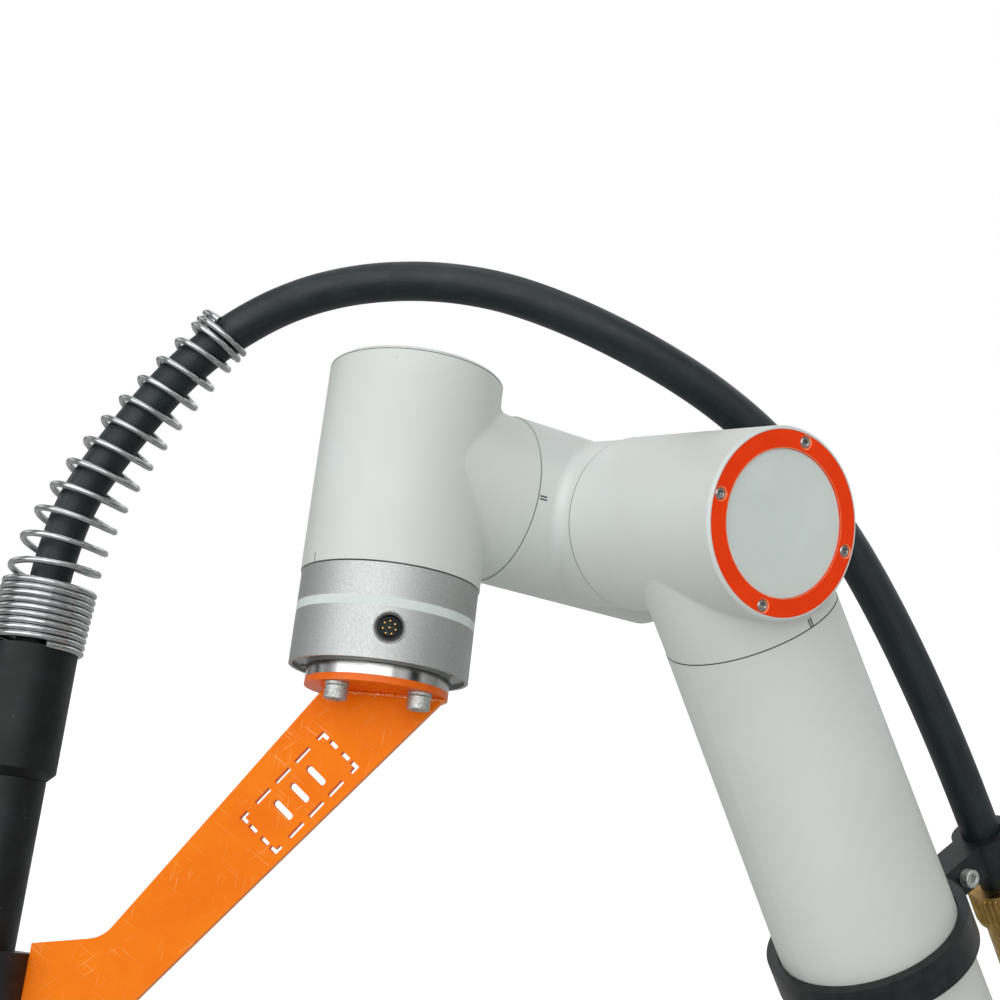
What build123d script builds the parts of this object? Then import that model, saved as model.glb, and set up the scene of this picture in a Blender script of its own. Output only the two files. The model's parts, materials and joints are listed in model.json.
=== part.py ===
from build123d import *
import os
from math import cos, pi, radians, sin, tan

os.makedirs("parts", exist_ok=True)

# Six-axis robot arm on a round base flange. Each joint is a cast T housing: a motor barrel
# with a cap at one end and the turning seam at the other, and a short branch to the last joint.
# The wrist carries an orange welded bracket with a welding torch, and the torch's hose runs
# back over the wrist to a clamp behind the forearm.
# The origin is the middle of the flange's underside, +Z is up and +X is the way the wrist points.

# Arm layout
shoulder_height = 152.0
upper_arm_length = 425.0
forearm_length = 395.0
shoulder_offset = 130.0
elbow_offset = 115.0

# Pose that the arm stands in, in degrees
upper_arm_lean = 35.0
forearm_lean = 25.1
wrist_pitch = 14.0
wrist_3_roll = 9.7
flange_turn = 2.3
bracket_turn = 40.0

# Base
flange_radius = 74.5
flange_thickness = 10.0
flange_bolt_circle = 132.0
flange_bolt_hole = 8.5
flange_bolt_count = 4
base_foot_radius = 59.0
base_foot_height = 8.0
shoulder_branch_reach = 64.0

# Large joints of the base, shoulder and elbow
joint_radius = 57.0
joint_branch_radius = 55.5
joint_cap_reach = 66.0
joint_branch_reach = 74.0
joint_end_round = 20.0

# Arm tubes
upper_tube_radius = 46.0
forearm_root_radius = 44.0
forearm_tube_radius = 39.5
tube_collar_length = 8.0

# Wrist joints, all three the same casting
wrist_radius = 40.0
wrist_branch_radius = 39.3
wrist_cap_reach = 46.0
wrist_output = 51.8
wrist_branch_reach = 48.2
crotch_round = 4.5
edge_break = 1.0

# Running seams between the joints
seam_gap = 0.6
seal_height = 0.3
seal_width = 3.0

# Caps
cap_rim = 1.5
cap_ring_depth = 4.0
cap_ring_share = 0.2
cap_fit = 0.1
cap_screw_count = 4
cap_screw_hole = 3.4
cap_screw_head = 6.2
cap_screw_head_depth = 2.4
cap_screw_angle = 45.0
cap_disc_sink = 0.8
lid_thickness = 1.6

# Tool flange
flange_ring_radius = 39.5
light_band_start = 66.6
light_band_height = 4.0
flange_ring_end = 93.0
flange_rim_width = 1.6
flange_rim_depth = 2.0
boss_radius = 31.5
boss_height = 5.5
tool_bolt_circle = 50.0
tool_bolt_count = 4
tool_bolt_hole = 6.6
connector_height = 79.5
connector_radius = 6.9
connector_wall = 1.5
connector_depth = 8.0
connector_sink = 2.5

# Bracket
bracket_disc_thickness = 3.0
plate_thickness = 4.0
plate_front = 23.0
plate_back = 31.0
plate_front_knee = (103.0, 114.0)
plate_back_knee = (88.0, 142.0)
plate_knee_round = 14.0
plate_lean = 37.6

# Cut-outs in the bracket's plate: a dashed frame around three slots
frame_width = 21.0
frame_length = 49.0
frame_start = 30.7
frame_shift = 3.2
dash_width = 1.8
end_dash_length = 4.4
end_dash_pitch = 7.4
end_dash_count = 2
side_dash_length = 8.4
side_dash_pitch = 12.0
side_dash_count = 3
corner_length = 4.2
slot_width = 3.0
slot_length = 11.0
slot_pitch = 10.0
slot_count = 3

# Torch
torch_offset = 158.5
torch_top = -6.0
torch_radius = 19.5
torch_body_length = 58.0
torch_chamfer = 4.0
barrel_radius = 16.0
barrel_length = 123.0
clamp_start = 124.0
clamp_height = 32.0
clamp_wall = 9.0
clamp_slot = 3.0
clamp_ear = 11.0
clamp_ear_width = 17.0
neck_radius = 8.5
neck_straight = 40.0
neck_bend_radius = 60.0
neck_bend = 35.0
nozzle_radius = 12.5
nozzle_tip_radius = 9.0
nozzle_cone = 18.0
nozzle_length = 62.0
nozzle_wall = 2.0
tip_radius = 4.0
tip_sink = 3.0

# Hose and its spring
hose_radius = 9.3
hose_fit = 0.3
hose_first_run = 57.0
hose_last_run = 60.0
hose_clearance = 85.0
hose_end = 234.0
spring_foot_radius = 21.5
spring_head_radius = 14.5
spring_length = 176.0
spring_sections = 7

# Route of the hose between the torch and the forearm: the corners that it turns about,
# measured from the middle of the first wrist joint
hose_route = [
    (200.7, -186.6, 41.7),
    (164.4, -176.2, 87.0),
    (116.2, -149.9, 118.0),
    (61.7, -106.7, 116.9),
    (17.3, -63.1, 93.1),
    (-45.3, -39.5, 55.2),
    (-88.9, -27.0, 8.8),
    (-118.8, -14.0, -44.8),
]

# Clamp and coupling behind the forearm
hose_clamp_place = 206.0
hose_clamp_height = 16.0
hose_clamp_wall = 5.0
hose_clamp_arm = 16.0
coupling_nut_radius = 15.5
coupling_nut_length = 18.0
coupling_radius = 13.0
coupling_length = 28.0
coupling_pin_radius = 6.0
coupling_pin_length = 12.0


def lean(angle):
    """Unit vector in the arm's plane, leaning forward from straight up by an angle in degrees."""
    return Vector(sin(radians(angle)), 0, cos(radians(angle)))


def turned(vector, axis_direction, angle):
    """Vector turned about a direction by an angle in degrees."""
    return vector.rotate(Axis((0, 0, 0), axis_direction), angle)


def plane_along(origin, direction, x_dir=None):
    """Plane with its Z along a direction."""
    return Plane(origin=origin, x_dir=x_dir, z_dir=direction)


def finish(part, name):
    """Label a finished piece and write it to its own file."""
    part.label = name
    export_step(part, f"parts/{name}.step")


# Directions and joint centres
side = Vector(0, -1, 0)
upward = Vector(0, 0, 1)
upper_direction = lean(-upper_arm_lean)
forearm_direction = lean(forearm_lean)
wrist_2_axis = lean(90 - wrist_pitch)
tool_axis = turned(lean(180 - wrist_pitch), wrist_2_axis, wrist_3_roll)

shoulder_point = upward * shoulder_height
upper_foot = shoulder_point + side * shoulder_offset
elbow_point = upper_foot + upper_direction * upper_arm_length
forearm_foot = elbow_point - side * elbow_offset
wrist_1_point = forearm_foot + forearm_direction * forearm_length
wrist_link = wrist_output + wrist_branch_reach
wrist_2_point = wrist_1_point + side * wrist_link
wrist_3_point = wrist_2_point + wrist_2_axis * wrist_link
print("wrist centres", wrist_1_point, wrist_2_point, wrist_3_point)
print("axes", wrist_2_axis, tool_axis)

base_seam_height = shoulder_height - shoulder_branch_reach
shoulder_seam = shoulder_offset / 2
elbow_seam = elbow_offset / 2
half_gap = seam_gap / 2


def housing(centre, barrel, branch, radius, branch_radius, reach, output, branch_reach, seat, name,
            end_round=0.0, seal=False):
    """Cast T: a motor barrel whose cap end points along barrel, and a short branch.

    seat is the radius of the recess for the cap, end_round closes the end with a dome instead,
    and seal raises a rim on the branch's end that runs against the last joint's seam.
    """
    barrel_plane = plane_along(centre, barrel)
    branch_plane = plane_along(centre, branch)
    with BuildPart() as body:
        with BuildSketch(barrel_plane.offset(-output)):
            Circle(radius)
        extrude(amount=output + reach)
        with BuildSketch(branch_plane):
            Circle(branch_radius)
        extrude(amount=branch_reach)
        crotch = body.edges().filter_by(lambda e: e.geom_type not in (GeomType.CIRCLE, GeomType.LINE))
        fillet(crotch, crotch_round)
        outer_rim = body.edges().filter_by(GeomType.CIRCLE).sort_by(Axis(centre, barrel))[-1]
        if end_round > 0:
            fillet(outer_rim, end_round)
        if seat > 0:
            chamfer(outer_rim, edge_break)
            with BuildSketch(barrel_plane.offset(reach)):
                Circle(seat)
            extrude(amount=-cap_ring_depth, mode=Mode.SUBTRACT)
        if seal:
            with BuildSketch(branch_plane.offset(branch_reach)):
                Circle(branch_radius - edge_break)
                Circle(branch_radius - edge_break - seal_width, mode=Mode.SUBTRACT)
            extrude(amount=seal_height)
    finish(body.part, name)


def cap(centre, barrel, branch, reach, seat, name):
    """Coloured ring with four sunk screw holes beside the branch, and the plain disc inside it."""
    ring_plane = plane_along(centre, barrel, branch).offset(reach - cap_ring_depth)
    outer = seat - cap_fit
    inner = outer * (1 - cap_ring_share)
    with BuildPart() as ring:
        with BuildSketch(ring_plane):
            Circle(outer)
            Circle(inner, mode=Mode.SUBTRACT)
        extrude(amount=cap_ring_depth)
        with Locations(ring_plane.offset(cap_ring_depth)):
            with PolarLocations(outer - cap_screw_head / 2 - cap_fit, cap_screw_count, cap_screw_angle):
                CounterBoreHole(cap_screw_hole / 2, cap_screw_head / 2, cap_screw_head_depth)
    finish(ring.part, name + "_cap_ring")
    with BuildPart() as disc:
        with BuildSketch(ring_plane):
            Circle(inner - cap_fit)
        extrude(amount=cap_ring_depth - cap_disc_sink)
    finish(disc.part, name + "_cap_disc")


# Base: a bolted flange with a stepped foot, and the round housing of the first joint
with BuildPart() as base_flange:
    with BuildSketch():
        Circle(flange_radius)
        with PolarLocations(flange_bolt_circle / 2, flange_bolt_count, 45):
            Circle(flange_bolt_hole / 2, mode=Mode.SUBTRACT)
    extrude(amount=flange_thickness)
    with BuildSketch(Plane.XY.offset(flange_thickness)):
        Circle(base_foot_radius)
    extrude(amount=base_foot_height)
    flange_edge = base_flange.edges().filter_by(GeomType.CIRCLE).sort_by(SortBy.RADIUS)[-2:]
    chamfer(flange_edge.sort_by(Axis.Z)[-1], edge_break)
finish(base_flange.part, "base_flange")

base_top = flange_thickness + base_foot_height
with BuildPart() as base_housing:
    with BuildSketch(Plane.XY.offset(base_top)):
        Circle(base_foot_radius - 2 * edge_break)
    with BuildSketch(Plane.XY.offset(base_seam_height - half_gap)):
        Circle(joint_radius)
    loft()
finish(base_housing.part, "base_housing")

# Shoulder: a barrel across the base, its cap on the side away from the upper arm
joint_seat = joint_radius - cap_rim
housing(shoulder_point, -side, -upward, joint_radius, joint_branch_radius, joint_cap_reach,
        shoulder_seam - half_gap, shoulder_branch_reach, joint_seat, "shoulder_housing")
cap(shoulder_point, -side, -upward, joint_cap_reach, joint_seat, "shoulder")

# Upper arm: a domed joint body at its foot, a straight tube and the elbow's motor barrel
housing(upper_foot, side, upper_direction, joint_radius, joint_branch_radius, joint_cap_reach,
        shoulder_offset - shoulder_seam - half_gap, joint_branch_reach, 0, "upper_arm_joint",
        end_round=joint_end_round)
with BuildPart() as upper_arm_tube:
    upper_tube_foot = plane_along(upper_foot + upper_direction * joint_branch_reach, upper_direction)
    upper_tube_run = upper_arm_length - 2 * joint_branch_reach
    with BuildSketch(upper_tube_foot):
        Circle(upper_tube_radius)
    extrude(amount=upper_tube_run)
    for collar_start in (0, upper_tube_run - tube_collar_length):
        with BuildSketch(upper_tube_foot.offset(collar_start)):
            Circle(joint_branch_radius - edge_break)
        extrude(amount=tube_collar_length)
finish(upper_arm_tube.part, "upper_arm_tube")
housing(elbow_point, side, -upper_direction, joint_radius, joint_branch_radius, joint_cap_reach,
        elbow_seam - half_gap, joint_branch_reach, joint_seat, "elbow_housing")
cap(elbow_point, side, -upper_direction, joint_cap_reach, joint_seat, "elbow")

# Forearm: a domed joint body at the elbow and a tube that meets the first wrist joint flush
housing(forearm_foot, -side, forearm_direction, joint_radius, joint_branch_radius, joint_cap_reach,
        elbow_offset - elbow_seam - half_gap, joint_branch_reach, 0, "forearm_joint",
        end_round=joint_end_round)
tube_foot = plane_along(forearm_foot + forearm_direction * joint_branch_reach, forearm_direction)
tube_run = forearm_length - joint_branch_reach - wrist_branch_reach
with BuildPart() as forearm_tube:
    with BuildSketch(tube_foot):
        Circle(forearm_root_radius)
    with BuildSketch(tube_foot.offset(tube_run)):
        Circle(forearm_tube_radius)
    loft()
    with BuildSketch(tube_foot):
        Circle(joint_branch_radius - edge_break)
    extrude(amount=tube_collar_length)
finish(forearm_tube.part, "forearm_tube")

# Wrist joints 1 and 2, each with an orange cap
wrist_seat = wrist_radius - cap_rim
housing(wrist_1_point, -side, -forearm_direction, wrist_radius, wrist_branch_radius,
        wrist_cap_reach, wrist_output - half_gap, wrist_branch_reach, wrist_seat,
        "wrist_1_housing")
cap(wrist_1_point, -side, -forearm_direction, wrist_cap_reach, wrist_seat, "wrist_1")
housing(wrist_2_point, -wrist_2_axis, -side, wrist_radius, wrist_branch_radius,
        wrist_cap_reach, wrist_output - half_gap, wrist_branch_reach - half_gap, wrist_seat,
        "wrist_2_housing", seal=True)
cap(wrist_2_point, -wrist_2_axis, -side, wrist_cap_reach, wrist_seat, "wrist_2")

# Wrist joint 3, closed with a plain lid
housing(wrist_3_point, -tool_axis, -wrist_2_axis, wrist_radius, wrist_branch_radius,
        wrist_cap_reach - lid_thickness, wrist_output - half_gap, wrist_branch_reach - half_gap,
        0, "wrist_3_housing", seal=True)
with BuildPart() as wrist_3_lid:
    with BuildSketch(plane_along(wrist_3_point, -tool_axis).offset(wrist_cap_reach - lid_thickness)):
        Circle(wrist_radius)
    extrude(amount=lid_thickness)
    chamfer(wrist_3_lid.edges().group_by(Axis(wrist_3_point, -tool_axis))[-1], edge_break)
finish(wrist_3_lid.part, "wrist_3_lid")

# Tool flange: two machined rings with the light band between them, and the mounting boss
flange = Plane(origin=wrist_3_point, x_dir=turned(wrist_2_axis, tool_axis, flange_turn),
               z_dir=tool_axis)
upper_ring_start = wrist_output + half_gap
with BuildPart() as flange_ring_upper:
    with BuildSketch(flange.offset(upper_ring_start)):
        Circle(flange_ring_radius)
    extrude(amount=light_band_start - upper_ring_start)
    with BuildSketch(flange.offset(upper_ring_start)):
        Circle(flange_ring_radius - edge_break)
        Circle(flange_ring_radius - edge_break - seal_width, mode=Mode.SUBTRACT)
    extrude(amount=-seal_height)
finish(flange_ring_upper.part, "flange_ring_upper")

with BuildPart() as light_band:
    with BuildSketch(flange.offset(light_band_start)):
        Circle(flange_ring_radius)
    extrude(amount=light_band_height)
finish(light_band.part, "light_band")

# The connector faces out between two of the tool's screws
lower_ring_start = light_band_start + light_band_height
screw_step = 360 / tool_bolt_count
connector_direction = turned(flange.x_dir, tool_axis, -0.75 * screw_step)
connector = Plane(origin=flange.offset(connector_height).origin, x_dir=tool_axis,
                  z_dir=connector_direction)
connector_floor = flange_ring_radius - connector_depth
with BuildPart() as flange_ring_lower:
    with BuildSketch(flange.offset(lower_ring_start)):
        Circle(flange_ring_radius)
    extrude(amount=flange_ring_end - lower_ring_start)
    with BuildSketch(flange.offset(flange_ring_end)):
        Circle(flange_ring_radius - flange_rim_width)
        Circle(boss_radius, mode=Mode.SUBTRACT)
    extrude(amount=-flange_rim_depth, mode=Mode.SUBTRACT)
    with BuildSketch(connector.offset(connector_floor)):
        Circle(connector_radius)
    extrude(amount=2 * connector_depth, mode=Mode.SUBTRACT)
finish(flange_ring_lower.part, "flange_ring_lower")

with BuildPart() as connector_shell:
    with BuildSketch(connector.offset(connector_floor)):
        Circle(connector_radius - cap_fit)
        Circle(connector_radius - connector_wall, mode=Mode.SUBTRACT)
    extrude(amount=connector_depth)
finish(connector_shell.part, "connector_shell")

with BuildPart() as connector_insert:
    with BuildSketch(connector.offset(connector_floor)):
        Circle(connector_radius - connector_wall - cap_fit)
    extrude(amount=connector_depth - connector_sink)
finish(connector_insert.part, "connector_insert")

with BuildPart() as mounting_flange:
    with BuildSketch(flange.offset(flange_ring_end)):
        Circle(boss_radius)
        with PolarLocations(tool_bolt_circle / 2, tool_bolt_count, -screw_step / 4):
            Circle(tool_bolt_hole / 2, mode=Mode.SUBTRACT)
    extrude(amount=boss_height)
finish(mounting_flange.part, "mounting_flange")

# Bracket: a disc bolted to the boss and a slanting plate welded under it
with BuildPart() as bracket_disc:
    with BuildSketch(flange.offset(flange_ring_end + boss_height)):
        Circle(boss_radius)
        with PolarLocations(tool_bolt_circle / 2, tool_bolt_count, -screw_step / 4):
            Circle(tool_bolt_hole / 2, mode=Mode.SUBTRACT)
    extrude(amount=bracket_disc_thickness)
finish(bracket_disc.part, "bracket_disc")

plate_top = flange_ring_end + boss_height + bracket_disc_thickness
bracket_direction = turned(wrist_2_axis, tool_axis, bracket_turn)
bracket = Plane(origin=flange.offset(plate_top).origin, x_dir=bracket_direction,
                z_dir=bracket_direction.cross(tool_axis))
torch = Plane(origin=bracket.origin + bracket_direction * torch_offset, x_dir=bracket_direction,
              z_dir=tool_axis)
clamp_radius = barrel_radius + clamp_wall
clamp_foot = clamp_start + clamp_height
plate_slope = (bracket_direction * sin(radians(plate_lean)) + tool_axis * cos(radians(plate_lean)))
plate_middle = bracket.origin + bracket_direction * (plate_front - plate_back) / 2
plate_across = plate_slope.cross(bracket.z_dir)
frame_middle = plate_middle + plate_slope * (frame_start + frame_length / 2)
plate_frame = Plane(origin=frame_middle - plate_across * frame_shift, x_dir=plate_across,
                    z_dir=bracket.z_dir)
with BuildPart() as bracket_plate:
    with BuildSketch(bracket.offset(-plate_thickness / 2)) as plate_outline:
        with BuildLine():
            Polyline((-plate_back, 0), (plate_front, 0), plate_front_knee,
                     (torch_offset, clamp_start), (torch_offset, clamp_foot),
                     plate_back_knee, close=True)
        make_face()
        knees = plate_outline.vertices().filter_by(lambda v: v.Y > 0 and v.X < torch_offset)
        fillet(knees, plate_knee_round)
    extrude(amount=plate_thickness)
    with BuildSketch(torch):
        Circle(clamp_radius)
    extrude(amount=clamp_foot, mode=Mode.SUBTRACT)
    with BuildSketch(plate_frame.offset(-plate_thickness)):
        with GridLocations(frame_width, side_dash_pitch, 2, side_dash_count):
            Rectangle(dash_width, side_dash_length)
        with GridLocations(end_dash_pitch, frame_length, end_dash_count, 2):
            Rectangle(end_dash_length, dash_width)
        with GridLocations(frame_width + dash_width - corner_length, frame_length, 2, 2):
            Rectangle(corner_length, dash_width)
        with GridLocations(frame_width, frame_length + dash_width - corner_length, 2, 2):
            Rectangle(dash_width, corner_length)
        with GridLocations(slot_pitch, slot_pitch, 1, slot_count):
            SlotOverall(slot_length, slot_width)
    extrude(amount=2 * plate_thickness, mode=Mode.SUBTRACT)
finish(bracket_plate.part, "bracket_plate")

# Torch: a body under the hose's spring, a slimmer barrel in a split clamp, and a bent neck
with BuildPart() as torch_body:
    with BuildSketch(torch.offset(torch_top)):
        Circle(torch_radius)
    extrude(amount=torch_body_length)
    chamfer(torch_body.edges().group_by(Axis(torch.origin, tool_axis))[-1], torch_chamfer)
finish(torch_body.part, "torch_body")

barrel_start = torch_top + torch_body_length
with BuildPart() as torch_barrel:
    with BuildSketch(torch.offset(barrel_start)):
        Circle(barrel_radius)
    extrude(amount=barrel_length)
    chamfer(torch_barrel.edges().group_by(Axis(torch.origin, tool_axis))[-1], torch_chamfer)
finish(torch_barrel.part, "torch_barrel")

with BuildPart() as torch_clamp:
    with BuildSketch(torch.offset(clamp_start)):
        Circle(clamp_radius)
        with Locations((clamp_radius, 0)):
            Rectangle(2 * clamp_ear, clamp_ear_width)
        Circle(barrel_radius + cap_fit, mode=Mode.SUBTRACT)
        with Locations((clamp_radius, 0)):
            Rectangle(2 * clamp_radius, clamp_slot, mode=Mode.SUBTRACT)
    extrude(amount=clamp_height)
finish(torch_clamp.part, "torch_clamp")

neck_start = barrel_start + barrel_length
neck_plane = Plane(origin=torch.offset(neck_start).origin, x_dir=bracket_direction,
                   z_dir=bracket.z_dir)
with BuildPart() as torch_neck:
    with BuildLine(neck_plane) as neck_path:
        straight = Line((0, 0), (0, neck_straight))
        JernArc(straight @ 1, straight % 1, neck_bend_radius, neck_bend)
    with BuildSketch(torch.offset(neck_start)):
        Circle(neck_radius)
    sweep(path=neck_path.line)
finish(torch_neck.part, "torch_neck")

nozzle = plane_along(neck_path.line @ 1, neck_path.line % 1)
with BuildPart() as torch_nozzle:
    with BuildSketch(nozzle):
        Circle(nozzle_radius)
    extrude(amount=nozzle_length - nozzle_cone)
    with BuildSketch(nozzle.offset(nozzle_length - nozzle_cone)):
        Circle(nozzle_radius)
    with BuildSketch(nozzle.offset(nozzle_length)):
        Circle(nozzle_tip_radius)
    loft()
    with BuildSketch(nozzle.offset(nozzle_cone)):
        Circle(nozzle_tip_radius - nozzle_wall)
    extrude(amount=nozzle_length, mode=Mode.SUBTRACT)
finish(torch_nozzle.part, "torch_nozzle")

with BuildPart() as contact_tip:
    with BuildSketch(nozzle.offset(nozzle_cone)):
        Circle(tip_radius)
    extrude(amount=nozzle_length - nozzle_cone - tip_sink)
finish(contact_tip.part, "contact_tip")

# Hose: it leaves the torch straight up and ends straight down the forearm's back
behind = side.cross(forearm_direction)
hose_line_top = wrist_1_point + behind * hose_clearance
hose_start = torch.offset(torch_top).origin
hose_stop = hose_line_top - forearm_direction * hose_end
hose_points = [hose_start, hose_start - tool_axis * hose_first_run]
hose_points += [wrist_1_point + Vector(*place) for place in hose_route]
hose_points += [hose_stop + forearm_direction * hose_last_run, hose_stop]


def corner_radius(before, corner, after):
    """Largest bend that the two runs at a corner leave room for."""
    arriving = corner - before
    leaving = after - corner
    shorter = min(arriving.length, leaving.length)
    return 0.45 * shorter / tan(radians(arriving.get_angle(leaving) / 2))


hose_radii = [corner_radius(*hose_points[i - 1:i + 2]) for i in range(1, len(hose_points) - 1)]
print("hose bends", [round(radius) for radius in hose_radii])


def hose_stretch(first, last, name):
    """Plain tube around the corners first to last, cut half way along the runs beside them."""
    start = hose_start if first == 1 else (hose_points[first - 1] + hose_points[first]) / 2
    end = hose_stop if last == len(hose_radii) else (hose_points[last] + hose_points[last + 1]) / 2
    with BuildPart() as tube:
        with BuildLine() as route:
            FilletPolyline(start, *hose_points[first:last + 1], end, radius=hose_radii[first - 1:last])
        run = route.wire()
        with BuildSketch(plane_along(run @ 0, run % 0)):
            Circle(hose_radius)
        sweep(path=run)
    finish(tube.part, name)
    true_volume = pi * hose_radius ** 2 * run.length
    print(name, "length", round(run.length, 1), "volume ratio", tube.part.volume / true_volume)
    return run


tool_run = hose_stretch(1, 4, "hose_tool_run")
hose_stretch(5, 7, "hose_over_wrist")
hose_stretch(8, len(hose_radii), "hose_forearm_run")

# Spring around the hose above the torch, as its outer shape with the hose's way through it
with BuildPart() as torch_spring:
    for section in range(spring_sections):
        share = section / (spring_sections - 1)
        centre = tool_run.position_at(share * spring_length, PositionMode.LENGTH)
        tangent = tool_run.tangent_at(share * spring_length, PositionMode.LENGTH)
        with BuildSketch(Plane(origin=centre, x_dir=bracket.z_dir, z_dir=tangent)):
            Circle(spring_foot_radius + share * (spring_head_radius - spring_foot_radius))
    loft()
    with BuildSketch(plane_along(tool_run @ 0, tool_run % 0)):
        Circle(hose_radius + hose_fit)
    sweep(path=tool_run, mode=Mode.SUBTRACT)
finish(torch_spring.part, "torch_spring")

# Clamp that holds the hose off the forearm: a band around the tube and a ring around the hose
clamp_plane = Plane(origin=wrist_1_point - forearm_direction * hose_clamp_place, x_dir=behind,
                    z_dir=-forearm_direction)
tube_growth = (forearm_root_radius - forearm_tube_radius) / tube_run
tube_radius_here = forearm_tube_radius + tube_growth * (hose_clamp_place + hose_clamp_height
                                                        - wrist_branch_reach)
with BuildPart() as hose_clamp:
    with BuildSketch(clamp_plane):
        Circle(tube_radius_here + hose_fit + hose_clamp_wall)
        with Locations((hose_clearance, 0)):
            Circle(hose_radius + hose_fit + hose_clamp_wall)
        with Locations((hose_clearance / 2, 0)):
            Rectangle(hose_clearance, hose_clamp_arm)
        Circle(tube_radius_here + hose_fit, mode=Mode.SUBTRACT)
        with Locations((hose_clearance, 0)):
            Circle(hose_radius + hose_fit, mode=Mode.SUBTRACT)
    extrude(amount=hose_clamp_height)
finish(hose_clamp.part, "hose_clamp")

# Coupling on the hose's lower end: a knurled nut, a body and its contact pin
coupling = plane_along(hose_stop, -forearm_direction)
with BuildPart() as hose_coupling:
    with BuildSketch(coupling):
        Circle(coupling_nut_radius)
    extrude(amount=coupling_nut_length)
    with BuildSketch(coupling.offset(coupling_nut_length)):
        Circle(coupling_radius)
    extrude(amount=coupling_length)
    with BuildSketch(coupling.offset(coupling_nut_length + coupling_length)):
        Circle(coupling_pin_radius)
    extrude(amount=coupling_pin_length)
    chamfer(hose_coupling.edges().filter_by(GeomType.CIRCLE).sort_by(Axis(hose_stop, -forearm_direction))[-1],
            edge_break)
finish(hose_coupling.part, "hose_coupling")
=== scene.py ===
import json
import math
import random

import bmesh
import bpy
from mathutils import Matrix, Vector


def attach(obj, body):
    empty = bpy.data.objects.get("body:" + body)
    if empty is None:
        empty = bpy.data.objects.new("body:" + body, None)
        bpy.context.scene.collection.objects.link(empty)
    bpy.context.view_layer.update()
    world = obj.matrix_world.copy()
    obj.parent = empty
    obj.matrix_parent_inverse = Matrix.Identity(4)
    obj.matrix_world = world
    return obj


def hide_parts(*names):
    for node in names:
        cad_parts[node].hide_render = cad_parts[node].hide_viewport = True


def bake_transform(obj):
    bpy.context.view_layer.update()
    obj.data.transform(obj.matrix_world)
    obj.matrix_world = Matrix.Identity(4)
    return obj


# A six-axis robot arm in white painted castings, with a welding torch on an orange bracket.
# Lengths are in metres, in the arm's own frame: +Z is up and the base stands on the floor at 0.
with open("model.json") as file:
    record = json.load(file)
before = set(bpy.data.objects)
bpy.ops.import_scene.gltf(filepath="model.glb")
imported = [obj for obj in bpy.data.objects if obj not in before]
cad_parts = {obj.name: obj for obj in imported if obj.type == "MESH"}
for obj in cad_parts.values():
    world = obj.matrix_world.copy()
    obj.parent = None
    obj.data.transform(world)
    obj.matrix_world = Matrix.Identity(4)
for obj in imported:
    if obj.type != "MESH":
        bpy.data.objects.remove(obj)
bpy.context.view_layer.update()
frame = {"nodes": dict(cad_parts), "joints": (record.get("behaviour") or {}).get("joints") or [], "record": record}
MM = 0.001

# Joint centres and axes, as the frame gives them
joints = {joint["name"]: joint for joint in frame["joints"]}
wrist_1 = Vector(joints["wrist_1_turn"]["pos_m"])
wrist_3 = Vector(joints["wrist_3_turn"]["pos_m"])
side = Vector(joints["wrist_1_turn"]["axis"]).normalized()
wrist_2_axis = Vector(joints["wrist_2_turn"]["axis"]).normalized()
tool_axis = Vector(joints["wrist_3_turn"]["axis"]).normalized()
up = Vector((0, 0, 1))

# Arm layout
FOREARM_LEAN = math.radians(25.1)
UPPER_ARM_LEAN = math.radians(-35)
SHOULDER_HEIGHT = 152 * MM
SHOULDER_OFFSET = 130 * MM
UPPER_ARM_LENGTH = 425 * MM
WRIST_LINK = 100 * MM
WRIST_OUTPUT = 51.8 * MM
WRIST_BRANCH_REACH = 48.2 * MM
WRIST_CAP_REACH = 46 * MM
JOINT_CAP_REACH = 66 * MM
FLANGE_TURN = 2.3
BRACKET_TURN = 40


def lean(angle):
    """Unit vector in the arm's plane, leaning forward from straight up."""
    return Vector((math.sin(angle), 0, math.cos(angle)))


def turned(vector, axis, degrees):
    """Vector turned about an axis."""
    return Matrix.Rotation(math.radians(degrees), 3, axis) @ vector


def plane(origin, x, z):
    """Placement with its X and Z along two directions at right angles."""
    y = z.cross(x)
    return Matrix.Translation(origin) @ Matrix((x, y, z)).transposed().to_4x4()


forearm = lean(FOREARM_LEAN)
behind = side.cross(forearm)
wrist_2 = wrist_1 + side * WRIST_LINK
shoulder = up * SHOULDER_HEIGHT
elbow = shoulder + side * SHOULDER_OFFSET + lean(UPPER_ARM_LEAN) * UPPER_ARM_LENGTH

# Tool flange, bracket and torch
FLANGE_RING_END = 93 * MM
BOSS_HEIGHT = 5.5 * MM
BRACKET_DISC = 3 * MM
TORCH_OFFSET = 158.5 * MM
TORCH_TOP = -6 * MM
bracket_underside = FLANGE_RING_END + BOSS_HEIGHT + BRACKET_DISC
flange_x = turned(wrist_2_axis, tool_axis, FLANGE_TURN)
bracket_x = turned(wrist_2_axis, tool_axis, BRACKET_TURN)
bracket_foot = wrist_3 + tool_axis * bracket_underside
bracket_normal = bracket_x.cross(tool_axis)
torch_line = bracket_foot + bracket_x * TORCH_OFFSET
flange_plane = plane(wrist_3, flange_x, tool_axis)
bracket_plane = plane(bracket_foot, bracket_x, tool_axis)

# Camera, set from the photograph: place and aim from the first wrist joint's centre
CAMERA_FROM_WRIST = Vector((0.43199, 0.53032, 0.00183))
VIEW_DIRECTION = Vector((-0.5217, -0.8530, 0.0134))
CAMERA_ROLL = math.radians(-0.47)
LENS_MM = 56.51
SENSOR_MM = 36.0

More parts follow.
